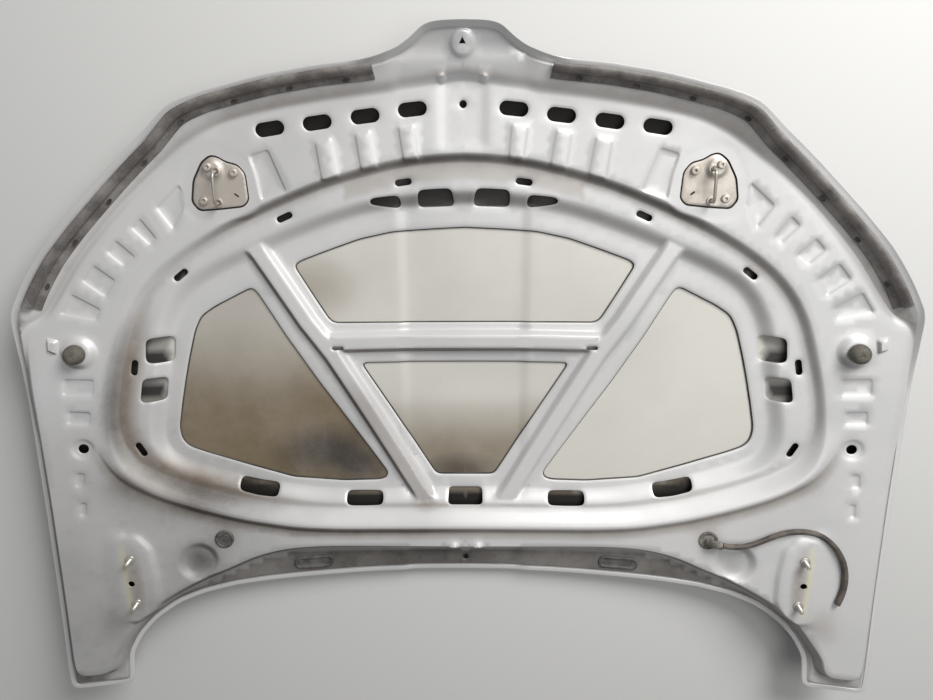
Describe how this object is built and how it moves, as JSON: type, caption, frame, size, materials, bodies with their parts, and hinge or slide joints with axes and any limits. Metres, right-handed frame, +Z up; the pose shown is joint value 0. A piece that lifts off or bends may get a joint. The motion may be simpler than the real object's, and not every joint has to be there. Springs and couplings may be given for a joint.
{
  "type": "car bonnet",
  "caption": "Steel car bonnet lying underside up: outer skin hemmed round a pressed inner frame, with latch bows, hinge studs, buffers, front seals and a washer hose.",
  "frame": {"origin": "middle of the bonnet's width and length, on the surface that it lies on", "axes": "+X across the bonnet, to the right when its underside is seen with the nose away; +Y to the nose; +Z up, out of the underside"},
  "size_m": [1.504, 1.148, 0.1205],
  "materials": {
    "body_paint": "satin silver-grey paint, dusty, with brown dirt in the low places",
    "primer": "thin beige primer",
    "zinc_plate": "dusty zinc plating",
    "bare_steel": "worn round rod",
    "seal_rubber": "grey-brown dusty rubber",
    "buffer_rubber": "matt black rubber, dusty",
    "black_plastic": "matt black plastic",
    "mastic": "dark set mastic",
    "hose_rubber": "dark hose, dusty along its top"
  },
  "bodies": {
    "root": {"buffer_left": "buffer_rubber", "buffer_right": "buffer_rubber", "buffer_stem_left": "black_plastic", "buffer_stem_right": "black_plastic", "front_seal_left": "seal_rubber", "front_seal_right": "seal_rubber", "grommet_left": "buffer_rubber", "grommet_right": "buffer_rubber", "hinge_plate_left": "primer", "hinge_plate_right": "primer", "hinge_stud_left_front": "zinc_plate", "hinge_stud_left_rear": "zinc_plate", "hinge_stud_right_front": "zinc_plate", "hinge_stud_right_rear": "zinc_plate", "inner_frame": "body_paint", "mastic_bead_left": "mastic", "mastic_bead_lower": "mastic", "mastic_bead_right": "mastic", "mastic_bead_upper": "mastic", "outer_skin": "body_paint", "seal_clip_left_1": "black_plastic", "seal_clip_left_2": "black_plastic", "seal_clip_left_3": "black_plastic", "seal_clip_left_4": "black_plastic", "seal_clip_left_5": "black_plastic", "seal_clip_left_6": "black_plastic", "seal_clip_left_7": "black_plastic", "seal_clip_left_8": "black_plastic", "seal_clip_right_1": "black_plastic", "seal_clip_right_2": "black_plastic", "seal_clip_right_3": "black_plastic", "seal_clip_right_4": "black_plastic", "seal_clip_right_5": "black_plastic", "seal_clip_right_6": "black_plastic", "seal_clip_right_7": "black_plastic", "seal_clip_right_8": "black_plastic", "striker_bolt_left_1": "zinc_plate", "striker_bolt_left_2": "zinc_plate", "striker_bolt_left_3": "zinc_plate", "striker_bolt_right_1": "zinc_plate", "striker_bolt_right_2": "zinc_plate", "striker_bolt_right_3": "zinc_plate", "striker_bow_left": "bare_steel", "striker_bow_right": "bare_steel", "striker_plate_left": "zinc_plate", "striker_plate_right": "zinc_plate", "striker_tray_left": "primer", "striker_tray_right": "primer", "washer_hose": "hose_rubber", "washer_jet_left": "black_plastic", "washer_jet_right": "black_plastic"}
  },
  "joints": []
}
